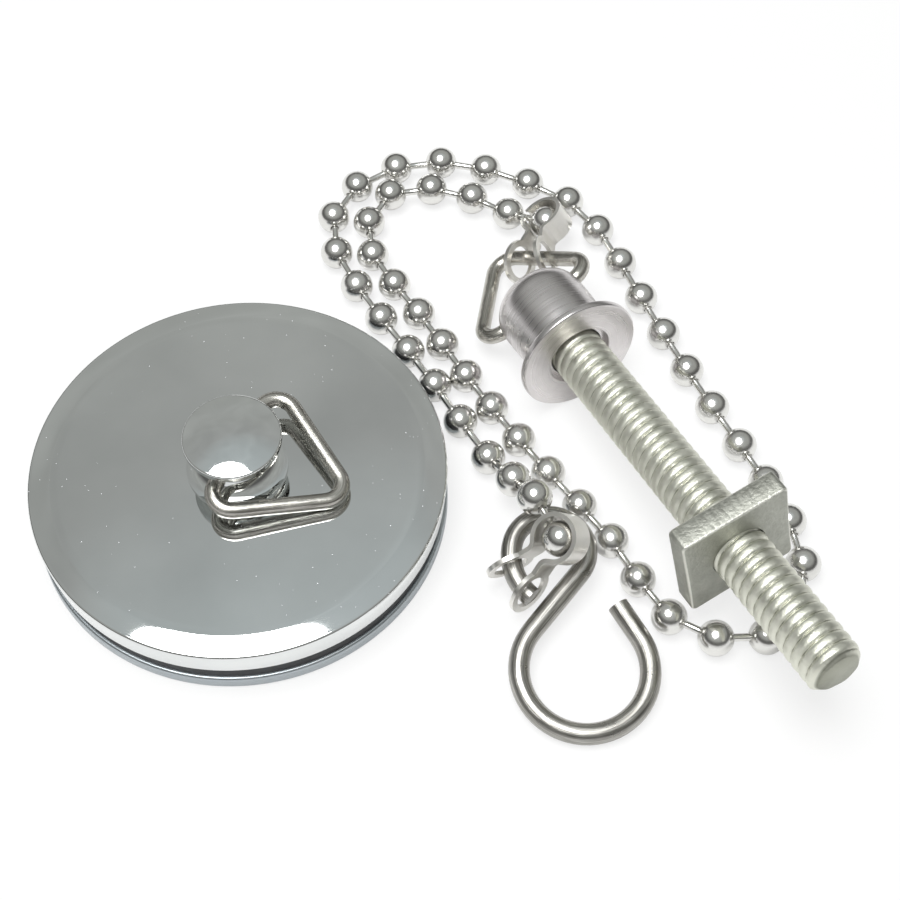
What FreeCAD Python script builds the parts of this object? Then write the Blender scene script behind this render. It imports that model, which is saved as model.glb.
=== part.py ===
import FreeCAD, Part
import math
import os

# A chrome drain plug with its triangular ring, and the loose ball chain that hooks into that ring.
# The chain's other end is tied to a threaded stay, which a flat nut fastens into the basin.
# Lengths are millimetres and angles are degrees. The origin is the middle of the plug's underside,
# +Z is up, and everything lies on the plane z = 0.

# Clearances that pieces share
seat_gap = 0.05
rest_gap = 0.15
cut_overrun = 1.0

# Plug: plate over rubber seal over base disc, the plate's spigot screwed into the base's hub
plate_radius = 23.1
plate_band_height = 2.8
plate_band_lean = 0.15
plate_edge_bend = 0.35
plate_shoulder_width = 2.25
plate_shoulder_drop = 0.3
plate_crown = 0.25
spigot_radius = 5.0
seal_setback = 0.45
seal_thickness = 2.0
base_thickness = 1.85
base_edge_bend = 0.35
base_floor = 0.6
hub_radius = 8.0
quarter_bend_share = 1 - math.sqrt(0.5)
shoulder_middle_share = 0.3

# Knob: a turned spool whose tail is pressed into the plate
knob_foot_radius = 5.6
knob_foot_edge = 0.3
knob_neck_radius = 3.1
knob_hole_height = 2.85
knob_rim_radius = 5.37
knob_rim_height = 5.3
knob_rim_band = 0.5
knob_rim_bend = 0.25
knob_height = 6.6
knob_tail_radius = 2.0
knob_tail_length = 3.0

# Triangular wire ring, one on the plug's knob and one on the stay
plug_ring_base = 18.6
stay_ring_base = 17.8
ring_height = 14.0
ring_corner_radius = 2.1
ring_wire = 1.8
ring_play = 0.15
plug_ring_azimuth = 67.0
plug_ring_shift = 0.75

# Ball chain: hollow beads on dumbbell links, in four runs named for where they lie, the first two slack
bead_diameter = 3.97
bead_wall = 0.33
bead_hole_radius = 0.5
chain_pitch = 5.64
link_radius = 0.36
link_head_radius = 0.66
link_head_play = 0.08
run_names = ("inner_strand", "stud_turn", "outer_strand", "hook_strand")
run_spacing_shares = (0.953, 0.975, 1.037, 1.037)

# Clasp: a sheet strip bent round the end bead, with two eyelets
clasp_sheet = 0.5
clasp_width = 3.2
clasp_play = 0.3
clasp_mouth_angle = 36.0
clasp_neck_radius = 1.0
clasp_leg_splay = 13.0
clasp_reach = 6.4
eyelet_radius = 2.7
eyelet_hole_radius = 1.95
clasp_link_hole_radius = 0.8

# Stay: a domed cap with a brim, on a threaded stud with a flat nut
stay_x = 38.3
stay_y = 14.95
stay_azimuth = -61.7
stay_tilt = 7.5
brim_radius = 7.36
brim_thickness = 0.9
brim_edge_bend = 0.25
dome_radius = 5.5
dome_root_fillet = 0.6
cap_length = 12.1
cap_hole_inset = 2.7
cap_recess_radius = 3.9
cap_recess_depth = 0.8
cap_socket_wall = 1.85
nose_crown_radius = 3.3
nose_crown_height = 0.45
nose_height = 3.4
nose_corner_shares = (0.7, 0.4)
stud_diameter = 6.35
stud_pitch = 1.27
stud_thread_depth = 0.62
stud_length = 49.0
stud_groove_shares = (0.16, 0.45)
nut_across_flats = 12.7
nut_thickness = 2.8
nut_corner_bevel = 0.25
nut_distance = 30.6
nut_roll = 9.2
nut_play = 0.06
stay_ring_roll = 21.2
stay_ring_bend = 17.9
stay_clasp_shift = 2.2
stay_clasp_turn = 2.0
stay_clasp_skew = 14.0
stay_clasp_slack = 0.25

# Hook: one wire bent flat to an S, with an open loop and a closed eye
hook_wire = 2.3
hook_x = 37.6
hook_y = -22.0
hook_tilt = 7.7
hook_loop_radius = 6.95
hook_tip_length = 4.2
hook_tip_angle = 31.0
eye_x = -3.4
eye_y = 13.4
eye_radius = 4.1
eye_drop_radius = 6.3
eye_drop_angle = 165.0
eye_end_angle = 229.0
eye_grip_angle = 206.0
hook_clasp_rise = 36.0
hook_clasp_skew = 8.0
hook_clasp_pull = 0.35

# Route of the chain on the floor from the stay's clasp to the hook's clasp, with the places where it
# leaves the floor at either end as a third value
chain_route = [
    (30.5, 40.5), (25.0, 44.5), (16.5, 45.5), (13.0, 40.5), (13.0, 34.5), (19.5, 25.5),
    (26.0, 14.5), (34.2, 2.7), (42.5, -7.7), (45.2, -14.5), (50.5, -18.5), (57.5, -18.5),
    (61.5, -15.5), (62.5, -10.5), (61.0, -2.0), (53.5, 12.0), (47.0, 26.5), (42.3, 38.2),
    (37.9, 43.8), (31.0, 47.0), (25.0, 49.5), (18.0, 49.5), (11.5, 46.0), (8.5, 41.0),
    (8.5, 35.5), (13.5, 26.5), (20.5, 16.5), (26.0, 7.0), (29.5, 2.0), (32.3, -3.6, 9.0),
]

# Heights and radii that follow from the sizes above
full_turn = 360
half_turn = 180
base_radius = plate_radius
seal_radius = plate_radius - seal_setback
plate_foot = base_thickness + seal_thickness
plate_band_top = plate_foot + plate_band_height
plate_edge_top = plate_band_top + plate_edge_bend
plate_shoulder_top = plate_edge_top + plate_shoulder_drop
plate_top = plate_shoulder_top + plate_crown
knob_hole_z = plate_top + knob_hole_height
ring_wire_radius = ring_wire / 2
ring_hole_radius = ring_wire_radius + ring_play
cap_hole_distance = cap_length - cap_hole_inset
cap_socket_depth = cap_hole_distance - ring_hole_radius - cap_socket_wall
ring_apex_half_angle = math.atan(plug_ring_base / 2 / ring_height)
ring_apex_cut = ring_corner_radius / math.sin(ring_apex_half_angle) - ring_corner_radius
plug_ring_apex_distance = ring_height - ring_apex_cut
bead_radius = bead_diameter / 2
hook_wire_radius = hook_wire / 2
stud_radius = stud_diameter / 2

x_axis = FreeCAD.Vector(1, 0, 0)
z_axis = FreeCAD.Vector(0, 0, 1)
origin = FreeCAD.Vector(0, 0, 0)


def point(x, y, z=0):
    return FreeCAD.Vector(x, y, z)


def unit(vector):
    return vector / vector.Length


def heading(angle):
    """Unit vector in the XY plane at an angle from +X."""
    return point(math.cos(math.radians(angle)), math.sin(math.radians(angle)))


def blend(first, second, share):
    """Value a share of the way from the first value to the second."""
    return first + (second - first) * share


def placed(shape, place, x_direction, z_direction):
    """Copy of a shape with its own origin, X and Z axes laid on the given ones."""
    turn = FreeCAD.Rotation(x_direction, z_direction.cross(x_direction), z_direction, "ZXY")
    moved = shape.copy()
    moved.Placement = FreeCAD.Placement(place, turn)
    return moved


def turned(start, legs):
    """Solid turned about +Z. A leg is an end, or the middle and end of an arc, as radius and height."""
    edges = []
    here = point(start[0], 0, start[1])
    for leg in legs + [[start]]:
        stops = [point(radius, 0, height) for radius, height in leg]
        if len(stops) == 1:
            edges.append(Part.LineSegment(here, stops[0]).toShape())
        else:
            edges.append(Part.Arc(here, stops[0], stops[1]).toShape())
        here = stops[-1]
    return Part.Face(Part.Wire(edges)).revolve(origin, z_axis, full_turn)


def dome_middle(radius, top, rise):
    """Middle of an arc from a radius up to the axis, on a ball whose centre is on the axis."""
    ball_radius = (radius ** 2 + rise ** 2) / (rise * 2)
    half = radius / 2
    return half, top - ball_radius + math.sqrt(ball_radius ** 2 - half ** 2)


def swept(edges, section):
    """Solid of a section carried along edges that run into each other smoothly."""
    pieces = []
    for edge in edges:
        start = edge.valueAt(edge.FirstParameter)
        ahead = edge.tangentAt(edge.FirstParameter)
        pieces.append(Part.Wire([edge]).makePipe(section(start, ahead)))
    return pieces[0].fuse(pieces[1:]).removeSplitter()


def round_section(radius):
    """Section of a round wire, as a function of a place and a direction."""
    def section(place, ahead):
        return Part.Face(Part.Wire(Part.makeCircle(radius, place, ahead)))
    return section


def arc_about(centre, radius, first_angle, last_angle):
    """Arc in the XY plane from one angle to another about a centre."""
    middle_angle = (first_angle + last_angle) / 2
    ends = [centre + heading(angle) * radius for angle in (first_angle, middle_angle, last_angle)]
    return Part.Arc(ends[0], ends[1], ends[2]).toShape()


def line(first, last):
    return Part.LineSegment(first, last).toShape()


# The plug

def plug_base():
    """Base disc with a hub whose blind bore takes the plate's spigot."""
    hub_top = plate_foot - seat_gap
    bend_middle = base_edge_bend * quarter_bend_share
    rim_bend_foot = base_radius - base_edge_bend
    rim_bend_top = base_thickness - base_edge_bend
    bore_radius = spigot_radius + seat_gap
    return turned((0, 0), [
        [(rim_bend_foot, 0)],
        [(base_radius - bend_middle, bend_middle), (base_radius, base_edge_bend)],
        [(base_radius, rim_bend_top)],
        [(base_radius - bend_middle, base_thickness - bend_middle), (rim_bend_foot, base_thickness)],
        [(hub_radius, base_thickness)],
        [(hub_radius, hub_top)],
        [(bore_radius, hub_top)],
        [(bore_radius, base_floor)],
        [(0, base_floor)],
    ])


def plug_seal():
    """Flat rubber ring between the base and the plate."""
    outside = Part.makeCylinder(seal_radius, seal_thickness, point(0, 0, base_thickness))
    bore = Part.makeCylinder(hub_radius + seat_gap, seal_thickness, point(0, 0, base_thickness))
    return outside.cut(bore)


def plug_plate():
    """Crowned plate with a rolled shoulder, an upright edge band and a spigot below."""
    spigot_end = base_floor + seat_gap
    bend_middle = plate_edge_bend * quarter_bend_share
    edge_radius = plate_radius - plate_edge_bend
    shoulder_radius = edge_radius - plate_shoulder_width
    shoulder_middle = (shoulder_radius + edge_radius) / 2
    plate = turned((0, spigot_end), [
        [(spigot_radius, spigot_end)],
        [(spigot_radius, plate_foot)],
        [(plate_radius - plate_band_lean, plate_foot)],
        [(plate_radius, plate_band_top)],
        [(plate_radius - bend_middle, plate_edge_top - bend_middle), (edge_radius, plate_edge_top)],
        [(shoulder_middle, plate_shoulder_top - plate_shoulder_drop * shoulder_middle_share),
         (shoulder_radius, plate_shoulder_top)],
        [dome_middle(shoulder_radius, plate_top, plate_crown), (0, plate_top)],
    ])
    tail_bore_length = knob_tail_length + seat_gap
    tail_bore = Part.makeCylinder(knob_tail_radius + seat_gap, tail_bore_length + cut_overrun,
                                  point(0, 0, plate_top - tail_bore_length))
    return plate.cut(tail_bore)


def plug_knob():
    """Spool with a foot, a waist pierced by the ring's hole, a domed head and a tail."""
    bend_middle = knob_rim_bend * quarter_bend_share
    band_top = knob_rim_height + knob_rim_band
    head_edge = knob_rim_radius - knob_rim_bend
    head_edge_height = band_top + knob_rim_bend
    head_rise = knob_height - head_edge_height
    knob = turned((0, -knob_tail_length), [
        [(knob_tail_radius, -knob_tail_length)],
        [(knob_tail_radius, 0)],
        [(knob_foot_radius, 0)],
        [(knob_foot_radius, knob_foot_edge)],
        [(knob_neck_radius, knob_hole_height), (knob_rim_radius, knob_rim_height)],
        [(knob_rim_radius, band_top)],
        [(knob_rim_radius - bend_middle, head_edge_height - bend_middle),
         (head_edge, head_edge_height)],
        [dome_middle(head_edge, knob_height, head_rise), (0, knob_height)],
    ])
    knob.translate(point(0, 0, plate_top))
    along = heading(plug_ring_azimuth)
    hole_start = point(0, 0, knob_hole_z) - along * knob_foot_radius
    hole = Part.makeCylinder(ring_hole_radius, knob_foot_radius * 2)
    seam_way = unit(z_axis + z_axis.cross(along))
    return knob.cut(placed(hole, hole_start, seam_way, along))


def triangle_ring(base, shift):
    """Isosceles wire ring in the XY plane, its base on X past the origin and its apex towards +Y."""
    half_base = base / 2
    corners = [point(shift - half_base, 0), point(shift + half_base, 0), point(shift, ring_height)]
    ways = [unit(corners[(number + 1) % 3] - corners[number]) for number in range(3)]
    turns = [ways[number - 1].getAngle(ways[number]) for number in range(3)]
    setbacks = [ring_corner_radius * math.tan(turn / 2) for turn in turns]
    edges = []
    for number in range(3):
        after = (number + 1) % 3
        way = ways[number]
        bend_start = corners[after] - way * setbacks[after]
        edges.append(line(corners[number] + way * setbacks[number], bend_start))
        bend_centre = bend_start + z_axis.cross(way) * ring_corner_radius
        out_angle = math.degrees(math.atan2(way.y, way.x)) - half_turn / 2
        edges.append(arc_about(bend_centre, ring_corner_radius, out_angle,
                               out_angle + math.degrees(turns[after])))
    return swept(edges, round_section(ring_wire_radius))


def plug_ring():
    """Ring through the knob's waist, its apex resting on the plate."""
    drop = knob_hole_height - ring_wire_radius - rest_gap
    fall = math.asin(drop / plug_ring_apex_distance)
    along = heading(plug_ring_azimuth)
    outwards = heading(plug_ring_azimuth - half_turn / 2)
    towards_apex = outwards * math.cos(fall) - z_axis * math.sin(fall)
    return placed(triangle_ring(plug_ring_base, plug_ring_shift), point(0, 0, knob_hole_z), along,
                  along.cross(towards_apex))


# The stay

stay_along = heading(stay_azimuth) * math.cos(math.radians(stay_tilt))
stay_along = stay_along + z_axis * math.sin(math.radians(stay_tilt))
stay_side = heading(stay_azimuth + half_turn / 2)
stay_up = stay_along.cross(stay_side)
stay_rise = brim_radius * math.cos(math.radians(stay_tilt))
stay_rise = stay_rise + brim_thickness * math.sin(math.radians(stay_tilt))
stay_place = point(stay_x, stay_y, stay_rise)
stay_ring_along = stay_side * math.cos(math.radians(stay_ring_roll))
stay_ring_along = stay_ring_along + stay_up * math.sin(math.radians(stay_ring_roll))
stay_ring_place = stay_place - stay_along * cap_hole_distance
stay_ring_apex_way = stay_ring_along.cross(stay_along) * math.sin(math.radians(stay_ring_bend))
stay_ring_apex_way = stay_ring_apex_way - stay_along * math.cos(math.radians(stay_ring_bend))


def stay_cap():
    """Domed cap with a flat brim, a socket for the stud and a cross hole for the ring."""
    bend_middle = brim_edge_bend * quarter_bend_share
    fillet_middle = dome_root_fillet * quarter_bend_share
    socket_radius = stud_radius + seat_gap
    brim_bend_radius = brim_radius - brim_edge_bend
    nose_crown_end = nose_crown_height - cap_length
    nose_end = nose_height - cap_length
    nose_half, nose_drop = dome_middle(nose_crown_radius, 0, nose_crown_height)
    cap = turned((0, -cap_length), [
        [(nose_half, -cap_length - nose_drop), (nose_crown_radius, nose_crown_end)],
        [(blend(nose_crown_radius, dome_radius, nose_corner_shares[0]),
          blend(nose_crown_end, nose_end, nose_corner_shares[1])),
         (dome_radius, nose_end)],
        [(dome_radius, -brim_thickness - dome_root_fillet)],
        [(dome_radius + fillet_middle, -brim_thickness - fillet_middle),
         (dome_radius + dome_root_fillet, -brim_thickness)],
        [(brim_bend_radius, -brim_thickness)],
        [(brim_radius - bend_middle, bend_middle - brim_thickness),
         (brim_radius, brim_edge_bend - brim_thickness)],
        [(brim_radius, -brim_edge_bend)],
        [(brim_radius - bend_middle, -bend_middle), (brim_bend_radius, 0)],
        [(cap_recess_radius, 0)],
        [(cap_recess_radius, -cap_recess_depth)],
        [(socket_radius, -cap_recess_depth)],
        [(socket_radius, -cap_socket_depth)],
        [(0, -cap_socket_depth)],
    ])
    cap = placed(cap, stay_place, stay_side, stay_along)
    hole_start = stay_ring_place - stay_ring_along * brim_radius
    return cap.cut(Part.makeCylinder(ring_hole_radius, brim_radius * 2, hole_start, stay_ring_along))


def stay_stud():
    """Threaded stud: a helical groove cut along its whole length."""
    inner_end = seat_gap - cap_socket_depth
    length = stud_length - inner_end
    root_radius = stud_radius - stud_thread_depth
    floor_half = stud_pitch * stud_groove_shares[0]
    mouth_half = stud_pitch * stud_groove_shares[1]
    slope = (mouth_half - floor_half) / stud_thread_depth
    outside = stud_radius + seat_gap
    outside_half = mouth_half + slope * seat_gap
    groove = Part.makePolygon([
        point(root_radius, 0, -floor_half),
        point(outside, 0, -outside_half),
        point(outside, 0, outside_half),
        point(root_radius, 0, floor_half),
        point(root_radius, 0, -floor_half),
    ])
    helix = Part.makeLongHelix(stud_pitch, length + stud_pitch * 2, stud_radius)
    thread = Part.Wire(helix.Edges).makePipeShell([groove], True, True)
    thread.translate(point(0, 0, -stud_pitch))
    stud = Part.makeCylinder(stud_radius, length).cut(thread)
    return placed(stud, stay_place + stay_along * inner_end, stay_side, stay_along)


def stay_nut():
    """Flat square nut with its corners just turned off, on the stud."""
    half = nut_across_flats / 2
    prism = Part.makeBox(nut_across_flats, nut_across_flats, nut_thickness, point(-half, -half))
    corner_radius = half * math.sqrt(2)
    flat_radius = corner_radius - nut_corner_bevel * 2
    blank = turned((0, 0), [
        [(flat_radius, 0)],
        [(corner_radius, nut_corner_bevel)],
        [(corner_radius, nut_thickness - nut_corner_bevel)],
        [(flat_radius, nut_thickness)],
        [(0, nut_thickness)],
    ])
    bore = Part.makeCylinder(stud_radius + nut_play, nut_thickness)
    nut = prism.common(blank).cut(bore)
    roll = math.radians(nut_roll)
    flat_way = stay_side * math.cos(roll) + stay_up * math.sin(roll)
    back = stay_place + stay_along * (nut_distance - nut_thickness / 2)
    return placed(nut, back, flat_way, stay_along)


def stay_ring():
    """Ring through the cap's cross hole, its apex lying on the floor."""
    return placed(triangle_ring(stay_ring_base, 0), stay_ring_place, stay_ring_along,
                  stay_ring_along.cross(stay_ring_apex_way))


# The hook

hook_rise = hook_wire_radius + hook_loop_radius * math.sin(math.radians(hook_tilt))
hook_place = point(hook_x, hook_y, hook_rise)
hook_uphill = point(0, math.cos(math.radians(hook_tilt)), math.sin(math.radians(hook_tilt)))
hook_face = x_axis.cross(hook_uphill)
eye_centre = point(eye_x, eye_y)
eye_drop_centre = eye_centre + heading(eye_drop_angle) * (eye_radius - eye_drop_radius)


def on_hook(flat):
    """Place in space of a point given in the hook's own plane."""
    return hook_place + x_axis * flat.x + hook_uphill * flat.y


def pull_hook():
    """One wire: straight tip, open loop, shank, and an eye on the shank's other side."""
    reach = eye_centre.Length
    reach_angle = math.degrees(math.atan2(eye_y, eye_x))
    spread = math.degrees(math.acos((hook_loop_radius + eye_radius) / reach))
    shank_angle = reach_angle + spread
    tip_bend = heading(hook_tip_angle) * hook_loop_radius
    tip = tip_bend + heading(hook_tip_angle + half_turn / 2) * hook_tip_length
    shank_start = heading(shank_angle) * hook_loop_radius
    shank_end = eye_centre - heading(shank_angle) * eye_radius
    eye_start_angle = shank_angle - half_turn
    edges = [
        line(tip, tip_bend),
        arc_about(origin, hook_loop_radius, hook_tip_angle, shank_angle - full_turn),
        line(shank_start, shank_end),
        arc_about(eye_centre, eye_radius, eye_start_angle, eye_drop_angle),
        arc_about(eye_drop_centre, eye_drop_radius, eye_drop_angle, eye_end_angle),
    ]
    return placed(swept(edges, round_section(hook_wire_radius)), hook_place, x_axis, hook_face)


# The clasps: each end bead stands one reach away from the wire that its clasp's eyelets hold

def skewed(way, across, skew):
    """Both directions turned alike in their own plane, the first towards the second."""
    share = math.cos(math.radians(skew))
    lean = math.sin(math.radians(skew))
    return way * share + across * lean, across * share - way * lean


stay_ring_face = unit(stay_ring_along.cross(stay_ring_apex_way))
stay_wire_way = unit(stay_ring_apex_way * ring_height - stay_ring_along * (stay_ring_base / 2))
stay_wire_out = unit(stay_wire_way.cross(stay_ring_face))
stay_clasp_grip = stay_ring_place + stay_ring_along * (stay_ring_base / 4)
stay_clasp_grip = stay_clasp_grip + stay_ring_apex_way * (ring_height / 2)
stay_clasp_grip = stay_clasp_grip + stay_wire_way * stay_clasp_shift
stay_clasp_way = stay_wire_out * -math.cos(math.radians(stay_clasp_turn))
stay_clasp_way = stay_clasp_way - stay_ring_face * math.sin(math.radians(stay_clasp_turn))
stay_clasp_way, stay_clasp_across = skewed(stay_clasp_way, stay_wire_way, -stay_clasp_skew)
stay_bead_place = stay_clasp_grip - stay_clasp_way * (clasp_reach - stay_clasp_slack)

hook_wire_flat = heading(eye_grip_angle + half_turn / 2)
hook_wire_way = x_axis * hook_wire_flat.x + hook_uphill * hook_wire_flat.y
hook_wire_in = hook_wire_way.cross(hook_face) * -1
hook_clasp_grip = on_hook(eye_drop_centre + heading(eye_grip_angle) * eye_drop_radius)
hook_clasp_way = hook_wire_in * -math.cos(math.radians(hook_clasp_rise))
hook_clasp_way = hook_clasp_way - hook_face * math.sin(math.radians(hook_clasp_rise))
hook_clasp_way, hook_clasp_across = skewed(hook_clasp_way, hook_wire_way, hook_clasp_skew)
hook_bead_place = hook_clasp_grip - hook_clasp_way * (clasp_reach + hook_clasp_pull)


def strip_section(place, ahead):
    """Section of the clasp's strip, standing on edge across the XY plane."""
    across = z_axis.cross(ahead) * (clasp_sheet / 2)
    up = z_axis * (clasp_width / 2)
    corners = [place + across + up, place - across + up, place - across - up, place + across - up]
    return Part.Face(Part.makePolygon(corners + corners[:1]))


def clasp(bead_place, way, across, chain_way):
    """Strip round the end bead with two splayed legs, an eyelet on each and a hole for the chain."""
    cup_radius = bead_radius + clasp_play + clasp_sheet / 2
    neck_centre = heading(clasp_mouth_angle) * (cup_radius + clasp_neck_radius)
    leg_out = heading(clasp_leg_splay - half_turn / 2)
    leg_start = neck_centre + leg_out * clasp_neck_radius
    leg_way = heading(clasp_leg_splay)
    leg_length = (clasp_reach - leg_start.x) / leg_way.x
    eyelet = leg_start + leg_way * leg_length
    neck_angle = clasp_mouth_angle + half_turn
    neck = arc_about(neck_centre, clasp_neck_radius, neck_angle,
                     clasp_leg_splay + full_turn - half_turn / 2)
    half_edges = [neck, line(leg_start, eyelet)]
    cup = arc_about(origin, cup_radius, clasp_mouth_angle, full_turn - clasp_mouth_angle)
    leaf = swept(half_edges, strip_section)
    disc_start = eyelet + leg_out * (clasp_sheet / 2)
    disc = Part.makeCylinder(eyelet_radius, clasp_sheet, disc_start, leg_out * -1)
    hole_start = eyelet + leg_out * clasp_sheet
    hole = Part.makeCylinder(eyelet_hole_radius, clasp_sheet * 2, hole_start, leg_out * -1)
    leaf = leaf.fuse(disc).cut(hole)
    other = leaf.mirror(origin, point(0, 1, 0))
    solid = swept([cup], strip_section).fuse([leaf, other]).removeSplitter()
    solid = placed(solid, bead_place, way, way.cross(across))
    return solid.cut(Part.makeCylinder(clasp_link_hole_radius, cup_radius + cut_overrun,
                                       bead_place, chain_way))


# The chain

def chain_curve():
    """Smooth curve of degree two along the route, starting and ending at the clasps' beads."""
    poles = [stay_bead_place]
    for place in chain_route:
        poles.append(point(place[0], place[1], place[2] if len(place) > 2 else bead_radius))
    poles.append(hook_bead_place)
    spans = len(poles) - 2
    curve = Part.BSplineCurve()
    curve.buildFromPolesMultsKnots(poles, [3] + [1] * (spans - 1) + [3], list(range(spans + 1)),
                                   False, 2)
    return curve


def bead(place, ways):
    """Hollow ball with a hole in each direction that a link leaves it, its seam turned away from them."""
    seam_way = unit(z_axis.cross(ways[0]))
    ball = placed(Part.makeSphere(bead_radius), place, seam_way, z_axis)
    hollow = placed(Part.makeSphere(bead_radius - bead_wall), place, seam_way, z_axis)
    holes = [Part.makeCylinder(bead_hole_radius, bead_diameter, place, way) for way in ways]
    return ball.cut(hollow.fuse(holes))


def link(first, second):
    """Dumbbell between two beads: a thin pin with a ball at each end, caught inside the beads."""
    way = unit(second - first)
    inset = bead_radius - bead_wall - link_head_radius - link_head_play
    start = first + way * inset
    reach = (second - first).Length - inset * 2
    neck = math.sqrt(link_head_radius ** 2 - link_radius ** 2)
    dumbbell = turned((0, -link_head_radius), [
        [(link_head_radius, 0), (link_radius, neck)],
        [(link_radius, reach - neck)],
        [(link_head_radius, reach), (0, reach + link_head_radius)],
    ])
    return placed(dumbbell, start, unit(way.cross(z_axis)), way)


curve = chain_curve()
chain_length = curve.length()
chain_gaps = round(chain_length / chain_pitch)
run_ends = [round(chain_gaps * run / len(run_names)) for run in range(len(run_names) + 1)]
steps = []
for run, share in enumerate(run_spacing_shares):
    steps += [share] * (run_ends[run + 1] - run_ends[run])
step_length = chain_length / sum(steps)
bead_distances = [step_length * sum(steps[:number]) for number in range(chain_gaps + 1)]
bead_places = [curve.value(curve.parameterAtDistance(distance)) for distance in bead_distances]
last_bead = chain_gaps
radii = [1 / curve.curvature(knot + 0.5) for knot in range(len(chain_route))]
print("chain length", round(chain_length, 1), "beads", len(bead_places))
print("chain bend radii", [round(radius, 1) for radius in radii])


def ways_from(number):
    """Directions from a bead to the beads beside it."""
    beside = [other for other in (number - 1, number + 1) if 0 <= other <= last_bead]
    return [unit(bead_places[other] - bead_places[number]) for other in beside]


def chain_beads(numbers):
    return Part.makeCompound([bead(bead_places[number], ways_from(number)) for number in numbers])


def chain_links(numbers):
    return Part.makeCompound([link(bead_places[number], bead_places[number + 1]) for number in numbers])


nodes = {
    "plug_base": plug_base(),
    "plug_seal": plug_seal(),
    "plug_plate": plug_plate(),
    "plug_knob": plug_knob(),
    "plug_ring": plug_ring(),
    "stay_cap": stay_cap(),
    "stay_stud": stay_stud(),
    "stay_nut": stay_nut(),
    "stay_ring": stay_ring(),
    "stay_clasp": clasp(stay_bead_place, stay_clasp_way, stay_clasp_across, ways_from(0)[0]),
    "pull_hook": pull_hook(),
    "hook_clasp": clasp(hook_bead_place, hook_clasp_way, hook_clasp_across, ways_from(last_bead)[0]),
    "stay_end_bead": chain_beads([0]),
    "hook_end_bead": chain_beads([last_bead]),
}

for run, name in enumerate(run_names):
    nodes[name + "_beads"] = chain_beads(range(max(run_ends[run], 1), run_ends[run + 1]))
    nodes[name + "_links"] = chain_links(range(run_ends[run], run_ends[run + 1]))

os.makedirs("parts", exist_ok=True)
for name, shape in nodes.items():
    shape.exportStep("parts/" + name + ".step")
    print(name, len(shape.Solids), "solids", shape.isValid(), round(shape.Volume, 2))
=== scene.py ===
# %% [markdown]
# A basin plug with its ball chain, chain stay and S-hook, lying on a white table.
# The knob, the seal and the clasps come from the measured solids and only get their finishes here. The chain,
# the plate, the flange, the cap, the stud, the nut and the wires are worked out again as surfaces: mirrors need
# finer steps than the solids' triangles have, and patterns such as drawing lines follow the surface.
# Lengths are metres, and millimetres are written as numbers times mm.

# %% Load the measured solids
import math
import bpy
import numpy as np
from mathutils import Matrix


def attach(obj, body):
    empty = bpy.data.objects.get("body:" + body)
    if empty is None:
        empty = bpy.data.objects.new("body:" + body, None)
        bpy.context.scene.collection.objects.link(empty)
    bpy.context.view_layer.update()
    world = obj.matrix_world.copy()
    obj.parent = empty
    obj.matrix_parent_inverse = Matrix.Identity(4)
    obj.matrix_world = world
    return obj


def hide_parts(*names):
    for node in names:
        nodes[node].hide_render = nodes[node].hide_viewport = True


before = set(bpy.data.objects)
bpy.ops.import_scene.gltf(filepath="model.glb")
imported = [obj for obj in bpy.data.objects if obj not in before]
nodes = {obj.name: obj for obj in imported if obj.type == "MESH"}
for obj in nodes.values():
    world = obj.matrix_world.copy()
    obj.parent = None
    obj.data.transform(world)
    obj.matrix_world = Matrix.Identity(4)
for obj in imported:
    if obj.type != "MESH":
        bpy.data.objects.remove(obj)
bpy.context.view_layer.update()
scene = bpy.context.scene
mm = 0.001

# %% [markdown]
# The photograph looks down at the table at about 58 degrees, from the side where the plug's front edge is.
# A longer lens than usual keeps the plug's rim nearly an ellipse.

# %% Camera
lens = bpy.data.cameras.new("camera")
lens.lens = 65.18
lens.sensor_width = 36
lens.clip_start = 0.01
camera = bpy.data.objects.new("camera", lens)
camera.location = (0.02337, -0.09468, 0.15971)
camera.rotation_euler = (math.radians(32.43), 0, 0)
scene.collection.objects.link(camera)
scene.camera = camera
print("camera looks down by", round(90 - math.degrees(camera.rotation_euler.x), 1), "degrees")

# %% [markdown]
# The chain is the one limp piece. It leaves the stay's clasp, lies on the table in a loop under the stud and
# round the stay, and climbs to the hook's clasp. Its line is a smooth spline whose control points are the route
# of the solids. A curve with no thickness turns that spline into closely set points to measure along.

# %% The chain's line
bead_radius = 1.985 * mm
stay_bead = (35.354, 38.149, 3.618)
hook_bead = (35.111, -9.362, 7.755)
route = [
    (30.5, 40.5), (25.0, 44.5), (16.5, 45.5), (13.0, 40.5), (13.0, 34.5), (19.5, 25.5),
    (26.0, 14.5), (34.2, 2.7), (42.5, -7.7), (45.2, -14.5), (50.5, -18.5), (57.5, -18.5),
    (61.5, -15.5), (62.5, -10.5), (61.0, -2.0), (53.5, 12.0), (47.0, 26.5), (42.3, 38.2),
    (37.9, 43.8), (31.0, 47.0), (25.0, 49.5), (18.0, 49.5), (11.5, 46.0), (8.5, 41.0),
    (8.5, 35.5), (13.5, 26.5), (20.5, 16.5), (26.0, 7.0), (29.5, 2.0), (32.3, -3.6, 9.0),
]
poles = [stay_bead] + [tuple(p) if len(p) == 3 else (*p, 1.985) for p in route] + [hook_bead]
poles = np.array(poles) * mm
line = bpy.data.curves.new("chain_line", "CURVE")
line.dimensions = "3D"
line.resolution_u = 40
spline = line.splines.new("NURBS")
spline.points.add(len(poles) - 1)
spline.points.foreach_set("co", np.column_stack([poles, np.ones(len(poles))]).ravel())
spline.order_u = 3
spline.use_endpoint_u = True
line_holder = bpy.data.objects.new("chain_line", line)
scene.collection.objects.link(line_holder)
bpy.context.view_layer.update()
traced = bpy.data.meshes.new_from_object(line_holder)
chain_points = np.zeros(len(traced.vertices) * 3)
traced.vertices.foreach_get("co", chain_points)
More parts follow.
